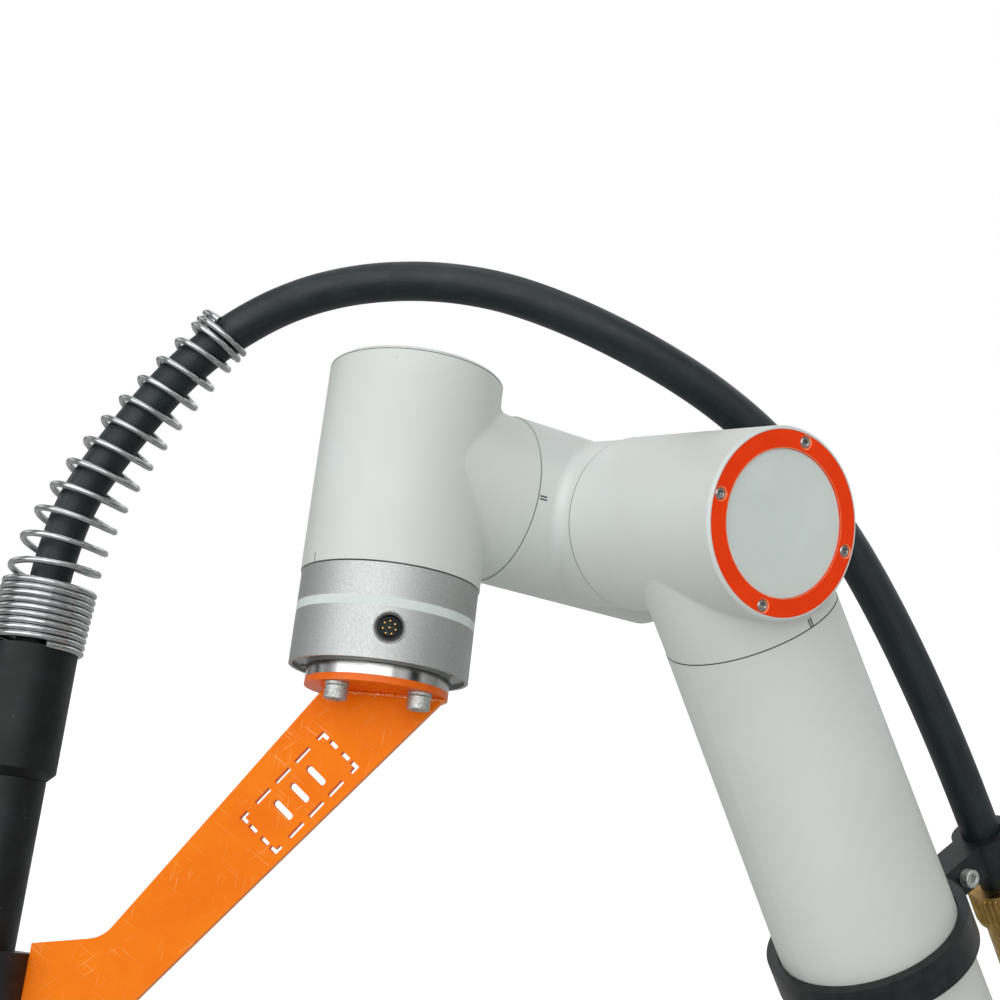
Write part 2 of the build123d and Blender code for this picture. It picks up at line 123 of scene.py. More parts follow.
camera_data = bpy.data.cameras.new("camera")
camera_data.lens = LENS_MM
camera_data.sensor_width = SENSOR_MM
camera = bpy.data.objects.new("camera", camera_data)
bpy.context.scene.collection.objects.link(camera)
camera.location = wrist_1 + CAMERA_FROM_WRIST
aim = VIEW_DIRECTION.to_track_quat("-Z", "Y").to_matrix() @ Matrix.Rotation(CAMERA_ROLL, 3, "Z")
camera.rotation_euler = aim.to_euler()
bpy.context.scene.camera = camera

# Meshes
SMOOTH_ANGLE = math.radians(35)
BEND_STEP_DEGREES = 2
ROUTE_RESOLUTION = 20


def mesh_of(vertices, faces):
    """Mesh with its flat faces kept crisp and its round ones smooth."""
    mesh = bpy.data.meshes.new("mesh")
    mesh.from_pydata(vertices, [], faces)
    mesh.validate()
    mesh.shade_smooth()
    mesh.set_sharp_from_angle(angle=SMOOTH_ANGLE)
    return mesh


def stacked_rings(rings, sides=36, loop=False):
    """Turned solid: rings of (radius, height) joined in order, closed at both ends or in a loop.

    A third value makes the ring a hexagon, and the radius is then half its width across flats.
    """
    vertices = []
    for radius, height, *hexagon in rings:
        for step in range(sides):
            angle = 2 * math.pi * step / sides
            reach = radius / math.cos(angle % (math.pi / 3) - math.pi / 6) if hexagon else radius
            vertices.append((reach * math.cos(angle), reach * math.sin(angle), height))
    count = len(rings)
    faces = []
    for ring in range(count if loop else count - 1):
        low = ring * sides
        high = (ring + 1) % count * sides
        for step in range(sides):
            after = (step + 1) % sides
            faces.append((low + step, low + after, high + after, high + step))
    if not loop:
        faces.append(tuple(reversed(range(sides))))
        faces.append(tuple(range((count - 1) * sides, count * sides)))
    return mesh_of(vertices, faces)


def tube(points, radius, sides):
    """Round tube along points, closed at both ends, with UVs in metres round and along it."""
    count = len(points)
    tangents = [(points[min(i + 1, count - 1)] - points[max(i - 1, 0)]).normalized()
                for i in range(count)]
    normal = tangents[0].orthogonal().normalized()
    vertices = []
    lengths = [0.0]
    for i, point in enumerate(points):
        normal = (normal - tangents[i] * normal.dot(tangents[i])).normalized()
        across = tangents[i].cross(normal)
        if i:
            lengths.append(lengths[-1] + (point - points[i - 1]).length)
        for step in range(sides):
            angle = 2 * math.pi * step / sides
            vertices.append(point + (normal * math.cos(angle) + across * math.sin(angle)) * radius)
    faces = []
    for ring in range(count - 1):
        for step in range(sides):
            after = (step + 1) % sides
            faces.append((ring * sides + step, ring * sides + after,
                          (ring + 1) * sides + after, (ring + 1) * sides + step))
    faces.append(tuple(reversed(range(sides))))
    faces.append(tuple(range((count - 1) * sides, count * sides)))
    mesh = mesh_of(vertices, faces)
    girth = 2 * math.pi * radius
    uv = mesh.uv_layers.new(name="metres")
    for face in mesh.polygons:
        steps = [mesh.loops[loop].vertex_index % sides for loop in face.loop_indices]
        wraps = len(steps) == 4 and max(steps) - min(steps) > 1
        for loop, step in zip(face.loop_indices, steps):
            ring = mesh.loops[loop].vertex_index // sides
            share = (step + sides if wraps and step == 0 else step) / sides
            uv.data[loop].uv = (share * girth, lengths[ring])
    return mesh


def bent_plate(placement, radius, thickness, angles, heights):
    """Thin plate on a cylinder about the placement's Z, between two angles and two heights."""
    steps = max(2, round(abs(angles[1] - angles[0]) / BEND_STEP_DEGREES))
    vertices = []
    for step in range(steps + 1):
        angle = math.radians(angles[0] + (angles[1] - angles[0]) * step / steps)
        for reach, height in ((radius, heights[0]), (radius + thickness, heights[0]),
                              (radius + thickness, heights[1]), (radius, heights[1])):
            vertices.append(placement @ Vector((reach * math.cos(angle), reach * math.sin(angle),
                                                height)))
    faces = [(0, 1, 2, 3), tuple(range(4 * steps + 3, 4 * steps - 1, -1))]
    for step in range(steps):
        for corner in range(4):
            after = (corner + 1) % 4
            faces.append((4 * step + corner, 4 * step + 4 + corner, 4 * step + 4 + after,
                          4 * step + after))
    mesh = mesh_of(vertices, faces)
    repair = bmesh.new()
    repair.from_mesh(mesh)
    bmesh.ops.recalc_face_normals(repair, faces=repair.faces)
    repair.to_mesh(mesh)
    repair.free()
    return mesh


def join(meshes):
    """One mesh from several."""
    whole = bmesh.new()
    for mesh in meshes:
        whole.from_mesh(mesh)
    joined = bpy.data.meshes.new("joined")
    whole.to_mesh(joined)
    whole.free()
    joined.set_sharp_from_angle(angle=SMOOTH_ANGLE)
    return joined


def nurbs_points(points):
    """Smooth line that follows the corners of a route."""
    curve = bpy.data.curves.new("route", "CURVE")
    curve.dimensions = "3D"
    curve.resolution_u = ROUTE_RESOLUTION
    spline = curve.splines.new("NURBS")
    spline.points.add(len(points) - 1)
    for target, point in zip(spline.points, points):
        target.co = (*point, 1)
    spline.order_u = 3
    spline.use_endpoint_u = True
    holder = bpy.data.objects.new("route", curve)
    mesh = bpy.data.meshes.new_from_object(holder)
    line = [vertex.co.copy() for vertex in mesh.vertices]
    bpy.data.objects.remove(holder)
    bpy.data.meshes.remove(mesh)
    return line


def piece(name, mesh, body, finish=None):
    """Object for a finished mesh; it rides on its body, or on none if no body is given."""
    mesh.name = name
    if finish:
        mesh.materials.clear()
        mesh.materials.append(finish)
    made = bpy.data.objects.new(name, mesh)
    bpy.context.scene.collection.objects.link(made)
    if body:
        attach(made, body)
    return made


# Colours, nodes and finishes
def linear(hex_colour):
    """Linear colour for an sRGB hex value."""
    shares = [int(hex_colour[i:i + 2], 16) / 255 for i in (1, 3, 5)]
    return tuple(s / 12.92 if s <= 0.04045 else ((s + 0.055) / 1.055) ** 2.4 for s in shares) + (1,)


def node(tree, kind, inputs=None, **settings):
    """Add a node with its settings; inputs are values or links, by socket name or number."""
    made = tree.nodes.new(kind)
    for name, value in settings.items():
        setattr(made, name, value)
    for key, value in (inputs or {}).items():
        if isinstance(value, bpy.types.NodeSocket):
            tree.links.new(value, made.inputs[key])
        else:
            made.inputs[key].default_value = value
    return made


class Finish:
    """Material in the making: its nodes, its shader and the base colour laid on so far."""

    def __init__(self, name, colour, roughness, metallic=0.0, specular=0.5):
        self.material = bpy.data.materials.new(name)
        self.material.use_nodes = True
        self.tree = self.material.node_tree
        self.tree.nodes.clear()
        self.colour = linear(colour)
        self.shader = node(self.tree, "ShaderNodeBsdfPrincipled",
                           {"Base Color": self.colour, "Roughness": roughness, "Metallic": metallic,
                            "Specular IOR Level": specular})
        node(self.tree, "ShaderNodeOutputMaterial", {"Surface": self.shader.outputs["BSDF"]})
        self.coordinates = node(self.tree, "ShaderNodeTexCoord").outputs
        self.place = self.coordinates["Object"]

    def patches(self, size, low, high, faint=0.0, full=1.0, detail=2.0, place=None):
        """Value that goes from faint to full in even patches about one size across."""
        cloud = node(self.tree, "ShaderNodeTexNoise",
                     {"Vector": self.place if place is None else place, "Scale": 1 / size,
                      "Detail": detail}).outputs["Fac"]
        return node(self.tree, "ShaderNodeMapRange",
                    {"Value": cloud, "From Min": low, "From Max": high, "To Min": faint,
                     "To Max": full}).outputs["Result"]

    def specks(self, spacing, radius, kept):
        """Scattered round specks: one cell in a few keeps its speck."""
        cells = node(self.tree, "ShaderNodeTexVoronoi", {"Vector": self.place, "Scale": 1 / spacing})
        dot = node(self.tree, "ShaderNodeMapRange",
                   {"Value": cells.outputs["Distance"], "From Min": radius / spacing,
                    "From Max": 0.6 * radius / spacing}).outputs["Result"]
        chance = node(self.tree, "ShaderNodeSeparateColor", {"Color": cells.outputs["Color"]})
        some = node(self.tree, "ShaderNodeMath", {0: chance.outputs["Red"], 1: kept},
                    operation="LESS_THAN").outputs[0]
        return node(self.tree, "ShaderNodeMath", {0: dot, 1: some}, operation="MULTIPLY").outputs[0]

    def lay_over(self, share, hex_colour):
        """Lay another colour over the base colour by a share."""
        self.colour = node(self.tree, "ShaderNodeMix",
                           {0: share, 6: self.colour, 7: linear(hex_colour)},
                           data_type="RGBA").outputs[2]
        self.tree.links.new(self.colour, self.shader.inputs["Base Color"])

    def drift(self, first, second, size, low=0.35, high=0.65, detail=2.0, place=None):
        """Base colour that drifts between two close tones in soft patches."""
        self.colour = linear(first)
        self.lay_over(self.patches(size, low, high, detail=detail, place=place), second)

    def uneven_gloss(self, size, low, high, place=None):
        """Roughness that wanders between two values."""
        rough = self.patches(size, 0.35, 0.65, low, high, detail=4.0, place=place)
        self.tree.links.new(rough, self.shader.inputs["Roughness"])

    def raise_surface(self, height, depth):
        """Raise the surface by a depth where a value is high."""
        bump = node(self.tree, "ShaderNodeBump", {"Height": height, "Distance": depth})
        self.tree.links.new(bump.outputs["Normal"], self.shader.inputs["Normal"])

    def grain(self, size, depth, detail=3.0, place=None):
        """Raised grain of a size and a depth."""
        self.raise_surface(self.patches(size, 0.0, 1.0, detail=detail, place=place), depth)

    def stretched_skin(self, share):
        """The piece's own UVs in metres, drawn out along it so that grains become long lines."""
        return node(self.tree, "ShaderNodeMapping",
                    {"Vector": self.coordinates["UV"], "Scale": (1.0, share, 1.0)}).outputs["Vector"]


def white_powder_coat():
    """Aluminium casting, powder coated: a soft satin white with a green tinge and a few fine specks."""
    coat = Finish("white_powder_coat", "#D7DDDA", 0.42, specular=0.4)
    coat.drift("#DAE0DD", "#D6D9D5", 70 * MM)
    coat.lay_over(coat.specks(16 * MM, 0.3 * MM, 0.35), "#8A8F8B")
    coat.uneven_gloss(45 * MM, 0.38, 0.47)
    coat.grain(1.1 * MM, 0.004 * MM)
    return coat.material


def orange_abs():
    """Moulded ABS in signal orange: even colour with a low satin sheen."""
    plastic = Finish("orange_abs", "#FA4003", 0.45, specular=0.15)
    plastic.drift("#FB4204", "#F53C02", 12 * MM)
    plastic.grain(0.7 * MM, 0.004 * MM)
    return plastic.material


def highlight_orange_abs():
    """Pale orange painted highlight on the sharp edges of the orange ABS ring and its screw pockets."""
    plastic = Finish("highlight_orange_abs", "#FB8A5E", 0.4, specular=0.3)
    plastic.drift("#FC9468", "#F97848", 1.5 * MM)
    return plastic.material


def grey_abs():
    """Moulded ABS in pale grey green: spark-eroded mould, so a finely matt face."""
    plastic = Finish("grey_abs", "#D4DFDB", 0.5, specular=0.3)
    plastic.drift("#D6E1DD", "#D2DDD9", 20 * MM)
    plastic.grain(0.6 * MM, 0.006 * MM)
    return plastic.material


def blasted_aluminium():
    """Bead-blasted and clear anodised aluminium: bright satin metal with a fine sparkle."""
    metal = Finish("blasted_aluminium", "#B6B9B8", 0.54, 1.0)
    metal.drift("#BCBFBE", "#ADB0AF", 0.6 * MM)
    metal.uneven_gloss(0.8 * MM, 0.48, 0.6)
    metal.grain(0.55 * MM, 0.006 * MM)
    return metal.material


def turned_aluminium():
    """Turned aluminium, left bright from the lathe: tight mirror streaks over fine tool marks."""
    metal = Finish("turned_aluminium", "#B4B4B3", 0.12, 1.0)
    height = node(metal.tree, "ShaderNodeVectorMath", {0: metal.place, 1: tool_axis},
                  operation="DOT_PRODUCT").outputs["Value"]
    feed = 0.45 * MM
    turns = node(metal.tree, "ShaderNodeMath", {0: height, 1: 2 * math.pi / feed},
                 operation="MULTIPLY").outputs[0]
    marks_cut = node(metal.tree, "ShaderNodeMath", {0: turns}, operation="SINE").outputs[0]
    metal.raise_surface(marks_cut, 0.003 * MM)
    metal.uneven_gloss(9 * MM, 0.1, 0.2)
    return metal.material


def frosted_polycarbonate():
    """Frosted polycarbonate light guide: milky, and pale while its lamp is off."""
    plastic = Finish("frosted_polycarbonate", "#D9E3E0", 0.5, specular=0.3)
    plastic.drift("#DCE5E2", "#D4DEDB", 8 * MM)
    return plastic.material


def black_nickel():
    """Black nickel plate on turned brass: nearly black, with a mirror gloss."""
    metal = Finish("black_nickel", "#3A3A39", 0.16, 1.0)
    metal.uneven_gloss(1.5 * MM, 0.1, 0.2)
    return metal.material


def gold_plate():
    """Gold-plated contact pins."""
    metal = Finish("gold_plate", "#E2B866", 0.22, 1.0)
    metal.uneven_gloss(1 * MM, 0.16, 0.3)
    return metal.material


def black_moulding():
    """Glass-filled black nylon, moulded: satin, with dust caught on it and paler rubbed patches."""
    plastic = Finish("black_moulding", "#0E1213", 0.48, specular=0.25)
    plastic.drift("#0B0F10", "#161B1C", 14 * MM)
    plastic.lay_over(plastic.specks(4 * MM, 0.22 * MM, 0.3), "#8C9391")
    plastic.uneven_gloss(18 * MM, 0.4, 0.56)
    plastic.grain(0.5 * MM, 0.01 * MM)
    return plastic.material


SCRATCH_TURNS = (0.7, 1.5, 2.6)
SCRATCH_STRETCH = 0.04
SCRATCH_WIDTH = 0.7 * MM


def worn_orange_paint():
    """Orange powder coat on bent steel plate: chipped pale at the cut edges and finely scratched."""
    coat = Finish("worn_orange_paint", "#F87C04", 0.42, specular=0.1)
    tree = coat.tree
    coat.drift("#FA8006", "#F47602", 22 * MM)
    scratches = 0.0
    for turn in SCRATCH_TURNS:
        run = bracket_x * math.cos(turn) + tool_axis * math.sin(turn)
        lengthwise = node(tree, "ShaderNodeVectorMath", {0: coat.place, 1: SCRATCH_STRETCH * run},
                          operation="DOT_PRODUCT").outputs["Value"]
        crosswise = node(tree, "ShaderNodeVectorMath",
                         {0: coat.place, 1: run.cross(bracket_normal)},
                         operation="DOT_PRODUCT").outputs["Value"]
        flat = node(tree, "ShaderNodeCombineXYZ",
                    {"X": lengthwise, "Y": crosswise, "Z": turn}).outputs[0]
        line = coat.patches(SCRATCH_WIDTH, 0.68, 0.73, detail=1.0, place=flat)
        scratches = node(tree, "ShaderNodeMath", {0: scratches, 1: line},
                         operation="MAXIMUM").outputs[0]
    handled = coat.patches(26 * MM, 0.45, 0.6, 0.15, 0.7)
    worn = node(tree, "ShaderNodeMath", {0: scratches, 1: handled}, operation="MULTIPLY").outputs[0]
    coat.lay_over(worn, "#FBB06A")
    coat.lay_over(coat.specks(7 * MM, 0.28 * MM, 0.15), "#FFC690")
    facing = node(tree, "ShaderNodeVectorMath", {0: coat.coordinates["Normal"], 1: bracket_normal},
                  operation="DOT_PRODUCT").outputs["Value"]
    flatness = node(tree, "ShaderNodeMath", {0: facing}, operation="ABSOLUTE").outputs[0]
    cut_edge = node(tree, "ShaderNodeMapRange", {"Value": flatness, "From Min": 0.5, "From Max": 0.3,
                                                 "To Max": 0.4}).outputs["Result"]
    coat.lay_over(cut_edge, "#F7B27A")
    coat.grain(1.2 * MM, 0.02 * MM)
    return coat.material


def orange_paint():
    """Orange powder coat on the turned disc: thicker and redder, with a slight orange peel."""
    coat = Finish("orange_paint", "#F56A04", 0.34, specular=0.3)
    coat.drift("#F87206", "#EE6202", 10 * MM)
    coat.grain(1.4 * MM, 0.02 * MM)
    return coat.material


def zinc_steel():
    """Zinc-plated steel screws: dull silver with a little blue and brown in patches."""
    metal = Finish("zinc_steel", "#BFC2BF", 0.58, 1.0)
    metal.drift("#CED2CF", "#A6A8A4", 0.9 * MM)
    metal.uneven_gloss(1.2 * MM, 0.5, 0.66)
    metal.grain(0.5 * MM, 0.03 * MM)
    return metal.material


def stainless_steel():
    """Stainless steel screws, turned and tumbled: bright grey metal with soft highlights."""
    metal = Finish("stainless_steel", "#A3A3A1", 0.26, 1.0)
    metal.drift("#ACACAA", "#8F8F8C", 1.5 * MM)
    metal.uneven_gloss(1 * MM, 0.18, 0.34)
    return metal.material


def galvanised_wire():
    """Cold-drawn galvanised wire: bright, with long fine bright and dark grey lines along it, partly draw lines
    and partly painted reflection streaks.
    """
    metal = Finish("galvanised_wire", "#B4B6B6", 0.18, 1.0)
    drawn = metal.stretched_skin(0.02)
    # Lengthwise bright and dark grey lines: partly draw lines, partly painted reflection streaks
    metal.drift("#C4C6C6", "#8E9293", 0.35 * MM, 0.4, 0.6, place=drawn)
    metal.grain(0.35 * MM, 0.002 * MM, detail=2.0, place=drawn)
    metal.uneven_gloss(4 * MM, 0.1, 0.22)
    return metal.material


def extruded_rubber():
    """Extruded black rubber hose: near black with a blue cast, a soft lengthwise sheen and scuffs."""
    rubber_skin = Finish("extruded_rubber", "#0F191B", 0.44, specular=0.4)
    skin = rubber_skin.coordinates["UV"]
    drawn = rubber_skin.stretched_skin(0.06)
    rubber_skin.drift("#0B1517", "#152124", 1.6 * MM, 0.35, 0.7, detail=3.0, place=drawn)
    scuffs = rubber_skin.patches(17 * MM, 0.52, 0.7, full=0.5, detail=5.0, place=skin)
    rubber_skin.lay_over(scuffs, "#263235")
    rubber_skin.uneven_gloss(22 * MM, 0.38, 0.55, place=skin)
    rubber_skin.grain(1.6 * MM, 0.02 * MM, place=drawn)
    return rubber_skin.material


def black_anodised():
    """Milled aluminium, black anodised: dark grey with a faint metal glint."""
    metal = Finish("black_anodised", "#2A2C2E", 0.4, 0.6)
    metal.drift("#2D2F31", "#242628", 6 * MM)
    metal.grain(0.5 * MM, 0.01 * MM)
    return metal.material


def dulled_brass():
    """Turned brass, a little dulled by handling."""
    metal = Finish("brass", "#B9985A", 0.3, 1.0)
    metal.drift("#BE9D5F", "#A3834A", 7 * MM)
    metal.uneven_gloss(5 * MM, 0.24, 0.4)
    return metal.material


def spattered_copper():
    """Copper nozzle, browned by heat in patches and dotted with weld spatter."""
    metal = Finish("spattered_copper", "#B9744F", 0.34, 1.0)
    metal.drift("#BD7852", "#8A543A", 9 * MM)
    spatter = metal.specks(3 * MM, 0.5 * MM, 0.25)
    metal.lay_over(spatter, "#54504C")
    metal.raise_surface(spatter, 0.25 * MM)
    metal.uneven_gloss(5 * MM, 0.28, 0.5)
    return metal.material


def weld_metal():
    """Painted weld bead: orange over coarse metal, dotted with pale specks that are painted highlights for its
    sparkle.
    """
    coat = Finish("weld_metal", "#F67D0E", 0.14, specular=0.8)
    coat.drift("#F98A1C", "#EE740A", 1.5 * MM)
    # Pale specks: painted highlights for the bead's glints
    coat.lay_over(coat.specks(1.3 * MM, 0.5 * MM, 0.5), "#FFE8CF")
    coat.grain(0.9 * MM, 0.05 * MM)
    return coat.material


def painted_seam_shade():
    """Dark grey and matt, a thin line between the castings: painted shade for the dark gap of a seam."""
    lip = Finish("painted_seam_shade", "#3B403E", 0.7)
    lip.drift("#3F4442", "#343836", 6 * MM)
    return lip.material


def marking_ink():
    """Pad-printed marking ink, dark blue grey."""
    print_layer = Finish("marking_ink", "#39454A", 0.5)
    print_layer.drift("#3C484D", "#313C41", 0.8 * MM)
    return print_layer.material


# Pale orange painted highlight for the edges of the cap rings and their screw pockets
cap_edge_highlight = highlight_orange_abs()
gold = gold_plate()
black_plastic = black_moulding()
zinc = zinc_steel()
bright_steel = stainless_steel()
wire = galvanised_wire()
rubber = extruded_rubber()
brass = dulled_brass()
weld = weld_metal()
# Dark grey for the seams: painted shade of their gaps
seam_shade = painted_seam_shade()
ink = marking_ink()

SLOT_FINISHES = {
    "white_paint": white_powder_coat(),
    "orange_cap": orange_abs(),
    "grey_disc": grey_abs(),
    "machined_aluminium": blasted_aluminium(),
    "light_band": frosted_polycarbonate(),
    "nickel": black_nickel(),
    "black_plastic": black_plastic,
    "orange_paint": worn_orange_paint(),
    "anodised_aluminium": black_anodised(),
    "brass": brass,
    "copper": spattered_copper(),
    "zinc_spring": wire,
    "rubber_hose": rubber,
}
NODE_FINISHES = {"mounting_flange": turned_aluminium(), "bracket_disc": orange_paint()}

for part in frame["record"]["subparts"]:
    shell = frame["nodes"][part["node"]]
    shell.data.materials.clear()
    shell.data.materials.append(NODE_FINISHES.get(part["node"], SLOT_FINISHES[part["material_slot"]]))

# Hose: one smooth line from the torch to the coupling, in three stretches that meet flush
HOSE_RADIUS = 9.3 * MM
HOSE_FIRST_RUN = 57 * MM
HOSE_LAST_RUN = 60 * MM
HOSE_CLEARANCE = 85 * MM
HOSE_END = 234 * MM
HOSE_ROUTE = [
    (0.2007, -0.1866, 0.0417),
    (0.1644, -0.1762, 0.0850),
    (0.1162, -0.1499, 0.1145),
    (0.0617, -0.1067, 0.1162),
    (0.0173, -0.0631, 0.0931),
    (-0.0453, -0.0395, 0.0552),
    (-0.0889, -0.0270, 0.0088),
    (-0.1188, -0.0140, -0.0448),
]
HOSE_SIDES = 36

hose_start = torch_line + tool_axis * TORCH_TOP
hose_stop = wrist_1 + behind * HOSE_CLEARANCE - forearm * HOSE_END
hose_corners = [hose_start, hose_start - tool_axis * HOSE_FIRST_RUN]
hose_corners += [wrist_1 + Vector(place) for place in HOSE_ROUTE]
hose_corners += [hose_stop + forearm * HOSE_LAST_RUN, hose_stop]
hose_line = nurbs_points(hose_corners)


def nearest(line, point):
    """Number of the line's point that lies nearest a place."""
    return min(range(len(line)), key=lambda i: (line[i] - point).length)


over_start = nearest(hose_line, (hose_corners[4] + hose_corners[5]) / 2)
over_end = nearest(hose_line, (hose_corners[7] + hose_corners[8]) / 2)
tool_line = hose_line[:over_start + 1]
over_line = hose_line[over_start:over_end + 1]
forearm_line = hose_line[over_end:]


def hose_stretch(name, line, cad_node):
    """Curved stretch of the hose between two bodies, on neither of them, which stands for its plain tube."""
    stretch = piece(name, tube(line, HOSE_RADIUS, HOSE_SIDES), None, rubber)
    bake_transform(stretch)
    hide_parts(cad_node)


hose_stretch("hose_from_torch", tool_line, "hose_tool_run")
hose_stretch("hose_above_wrist", over_line, "hose_over_wrist")
hose_stretch("hose_to_forearm", forearm_line, "hose_forearm_run")

# Spring round the hose: close turns on the torch, then open ones that narrow, then a few tight.
# Its middle line is in millimetres from the bracket's foot, along the bracket and the tool's axis.
SPRING_LINE = [(158.3, -5), (157.4, -33), (153.8, -58), (142.5, -89), (124.5, -122.5),
               (104.5, -151.5), (86, -177)]
SPRING_WIRE = 3.1 * MM
SPRING_CLOSE_TURNS = 9.05
SPRING_OPEN_TURNS = 11.3
SPRING_TOP_TURNS = 2.55
SPRING_FIRST_TURN = 0.1
SPRING_OPEN_PITCH = 12.15 * MM
SPRING_TOP_PITCH = 3.9 * MM
SPRING_RAMP = 0.45
SPRING_FOOT_RADIUS = 20 * MM
SPRING_TOP_RADIUS = 12.9 * MM
SPRING_STEPS = 40
SPRING_SIDES = 12


def eased(value):
    """Share from 0 to 1 with a soft start and end."""
    share = min(1.0, max(0.0, value))
    return share * share * (3 - 2 * share)


def spring_wire_line():
    """Centre line of the wire: a right-handed helix whose pitch and radius follow the turns."""
    core = nurbs_points([bracket_foot + (bracket_x * x + tool_axis * z) * MM for x, z in SPRING_LINE])
    reached = [0.0]
    for a, b in zip(core, core[1:]):
        reached.append(reached[-1] + (b - a).length)
    open_end = SPRING_CLOSE_TURNS + SPRING_OPEN_TURNS
    total_turns = open_end + SPRING_TOP_TURNS
    height = SPRING_WIRE / 2
    points = []
    segment = 0
    for step in range(round(total_turns * SPRING_STEPS) + 1):
        turn = step / SPRING_STEPS
        pitch = SPRING_WIRE
        pitch += (SPRING_OPEN_PITCH - pitch) * eased((turn - SPRING_CLOSE_TURNS) / SPRING_RAMP)
        pitch += (SPRING_TOP_PITCH - pitch) * eased((turn - open_end) / SPRING_RAMP)
        height += pitch / SPRING_STEPS
        while segment < len(core) - 2 and reached[segment + 1] < height:
            segment += 1
        tangent = (core[segment + 1] - core[segment]).normalized()
        middle = core[segment] + tangent * (height - reached[segment])
        across = tangent.cross(bracket_normal).normalized()
        share = min(1.0, max(0.0, (turn - SPRING_CLOSE_TURNS) / SPRING_OPEN_TURNS))
        narrowing = (share + math.sin(share * math.pi / 2)) / 2
        radius = SPRING_FOOT_RADIUS + (SPRING_TOP_RADIUS - SPRING_FOOT_RADIUS) * narrowing
        angle = 2 * math.pi * (turn + SPRING_FIRST_TURN)
        outward = bracket_normal * math.cos(angle) + across * math.sin(angle)
        points.append(middle + outward * radius)
    return points


spring = piece("torch_hose_spring", tube(spring_wire_line(), SPRING_WIRE / 2, SPRING_SIDES), None,
               wire)
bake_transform(spring)
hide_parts("torch_spring")


# Repeats by Geometry Nodes
def geometry_tree(name, sockets):
    """New Geometry Nodes tree with named inputs; returns it with its inputs' sockets."""
    tree = bpy.data.node_groups.new(name, "GeometryNodeTree")
    tree.interface.new_socket("Piece", in_out="INPUT", socket_type="NodeSocketGeometry")
    for socket, kind in sockets:
        tree.interface.new_socket(socket, in_out="INPUT", socket_type=kind)
    tree.interface.new_socket("Copies", in_out="OUTPUT", socket_type="NodeSocketGeometry")
    return tree, node(tree, "NodeGroupInput").outputs


def close_tree(tree, instances, finish):
    """Make the instances real, give them their finish and hand them out."""
    real = node(tree, "GeometryNodeRealizeInstances", {"Geometry": instances}).outputs[0]
    dressed = node(tree, "GeometryNodeSetMaterial", {"Geometry": real, "Material": finish}).outputs[0]
    node(tree, "NodeGroupOutput", {"Copies": dressed})


def circle_tree():
    """Copies on a circle, each turned outward and then a little at random about itself."""
    tree, given = geometry_tree("copies_on_a_circle", [
        ("Count", "NodeSocketInt"), ("Circle Radius", "NodeSocketFloat"),
        ("First Angle", "NodeSocketFloat"), ("Height", "NodeSocketFloat"),
        ("Random Turn", "NodeSocketFloat"), ("Seed", "NodeSocketInt"),
        ("Finish", "NodeSocketMaterial")])
    circle = node(tree, "GeometryNodeMeshCircle",
                  {"Vertices": given["Count"], "Radius": given["Circle Radius"]}).outputs[0]
    number = node(tree, "GeometryNodeInputIndex").outputs[0]
    pitch = node(tree, "ShaderNodeMath", {0: 2 * math.pi, 1: given["Count"]}, operation="DIVIDE")
    outward = node(tree, "ShaderNodeMath", {0: number, 1: pitch.outputs[0]}, operation="MULTIPLY")
    chance = node(tree, "FunctionNodeRandomValue", {"Seed": given["Seed"]}, data_type="FLOAT")
    own_turn = node(tree, "ShaderNodeMath", {0: chance.outputs[1], 1: given["Random Turn"],
                                             2: outward.outputs[0]}, operation="MULTIPLY_ADD")
    facing = node(tree, "ShaderNodeCombineXYZ", {"Z": own_turn.outputs[0]}).outputs[0]
    copies = node(tree, "GeometryNodeInstanceOnPoints",
                  {"Points": circle, "Instance": given["Piece"], "Rotation": facing}).outputs[0]
    lift = node(tree, "ShaderNodeCombineXYZ", {"Z": given["Height"]}).outputs[0]
    turn = node(tree, "ShaderNodeCombineXYZ", {"Z": given["First Angle"]}).outputs[0]
    placed = node(tree, "GeometryNodeTransform",
                  {"Geometry": copies, "Translation": lift, "Rotation": turn}).outputs[0]
    close_tree(tree, placed, given["Finish"])
    return tree


def line_tree():
    """Copies in a row, each a little bigger or smaller and turned at random."""
    tree, given = geometry_tree("copies_in_a_row", [
        ("Count", "NodeSocketInt"), ("Start", "NodeSocketVector"), ("Step", "NodeSocketVector"),
        ("Unevenness", "NodeSocketFloat"), ("Random Turn", "NodeSocketVector"),
        ("Seed", "NodeSocketInt"), ("Finish", "NodeSocketMaterial")])
    row = node(tree, "GeometryNodeMeshLine", {"Count": given["Count"], "Start Location": given["Start"],
                                              "Offset": given["Step"]}, mode="OFFSET").outputs[0]
    low = node(tree, "ShaderNodeMath", {0: 1.0, 1: given["Unevenness"]}, operation="SUBTRACT")
    high = node(tree, "ShaderNodeMath", {0: 1.0, 1: given["Unevenness"]}, operation="ADD")
    size = node(tree, "FunctionNodeRandomValue",
                {2: low.outputs[0], 3: high.outputs[0], "Seed": given["Seed"]}, data_type="FLOAT")
    turn = node(tree, "FunctionNodeRandomValue",
                {0: (0, 0, 0), 1: given["Random Turn"], "Seed": given["Seed"]},
                data_type="FLOAT_VECTOR")
    copies = node(tree, "GeometryNodeInstanceOnPoints",
                  {"Points": row, "Instance": given["Piece"], "Rotation": turn.outputs[0],
                   "Scale": size.outputs[1]}).outputs[0]
    close_tree(tree, copies, given["Finish"])
    return tree


copies_on_a_circle = circle_tree()
copies_in_a_row = line_tree()


